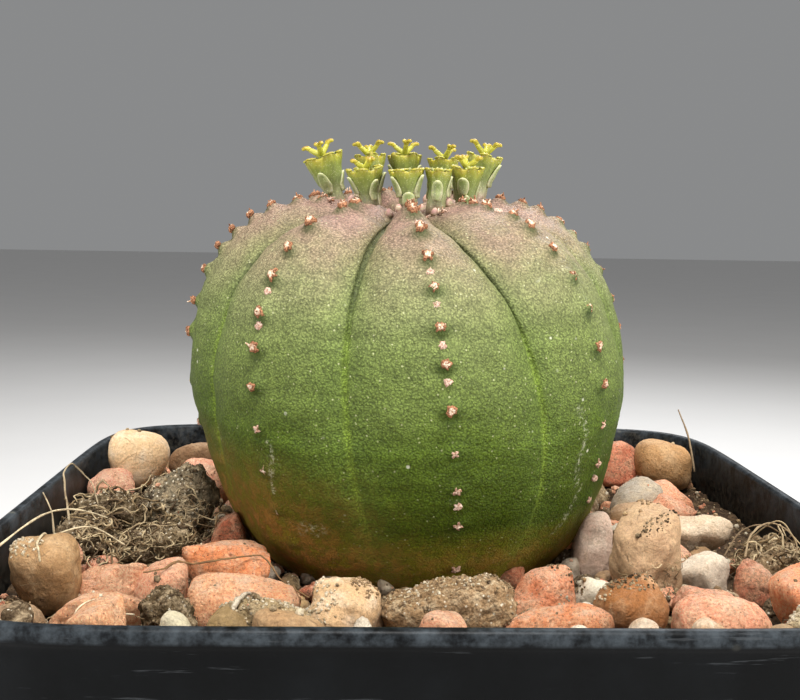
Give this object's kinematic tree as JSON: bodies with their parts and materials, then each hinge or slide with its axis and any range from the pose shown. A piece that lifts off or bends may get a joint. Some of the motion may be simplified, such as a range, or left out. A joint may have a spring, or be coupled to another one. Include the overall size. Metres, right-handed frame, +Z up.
{
  "type": "potted euphorbia",
  "caption": "Ribbed globular succulent in flower, rooted in soil under mixed gravel in a black square nursery pot.",
  "frame": {"origin": "centre of the pot's foot, on the surface that the pot stands on", "axes": "+Z up through the plant, -Y towards the pot's front, +X to the right seen from the front"},
  "size_m": [0.09, 0.09, 0.1216],
  "materials": {
    "pot_plastic": "satin",
    "potting_soil": "matte",
    "plant_skin": "satin",
    "flower_green": "satin",
    "flower_yellow": "satin",
    "brick_gravel": "matte",
    "pale_gravel": "matte",
    "brown_gravel": "matte",
    "earth_crumb": "matte"
  },
  "bodies": {
    "root": {"brick_bar_front": "brick_gravel", "brick_bar_long": "brick_gravel", "brick_block": "brick_gravel", "brick_boulder": "brick_gravel", "brick_chip_back_right": "brick_gravel", "brick_chip_left": "brick_gravel", "brick_shard": "brick_gravel", "brick_slab_behind": "brick_gravel", "brown_pebble_back_left": "brown_gravel", "brown_pebble_front": "brown_gravel", "buff_pebble": "pale_gravel", "buff_pebble_behind": "pale_gravel", "caramel_pebble": "brown_gravel", "cream_pebble_back_left": "pale_gravel", "cyathium_1": "flower_green", "cyathium_2": "flower_green", "cyathium_3": "flower_green", "cyathium_4": "flower_green", "cyathium_5": "flower_green", "cyathium_6": "flower_green", "cyathium_7": "flower_green", "cyathium_8": "flower_green", "cyathium_9": "flower_green", "dark_brick_right": "brick_gravel", "dark_crumb_front": "earth_crumb", "earth_and_root_clump": "earth_crumb", "earth_lump": "earth_crumb", "grey_pebble_right": "brown_gravel", "grit_front_right": "earth_crumb", "ochre_pebble": "brown_gravel", "pale_chip_right": "pale_gravel", "pot": "pot_plastic", "root_crumbs": "earth_crumb", "rose_pebble": "brick_gravel", "rose_pebble_back_left": "brick_gravel", "rose_white_pebble": "pale_gravel", "salmon_chip_front": "brick_gravel", "salmon_pebble_right": "brick_gravel", "salmon_ridge": "brick_gravel", "salmon_shard_left": "brick_gravel", "salmon_slab_front_left": "brick_gravel", "salmon_slab_front_right": "brick_gravel", "salmon_wedge_front_left": "brick_gravel", "sandy_crumb": "earth_crumb", "soil": "potting_soil", "stem": "plant_skin", "style_1": "flower_yellow", "style_2": "flower_yellow", "style_3": "flower_yellow", "style_5": "flower_yellow", "style_7": "flower_yellow", "style_8": "flower_yellow", "style_9": "flower_yellow", "tan_block": "brown_gravel", "tan_pebble_back_right": "brown_gravel", "tan_pebble_front_left": "brown_gravel", "white_chip": "pale_gravel", "white_slab": "pale_gravel"}
  },
  "joints": []
}
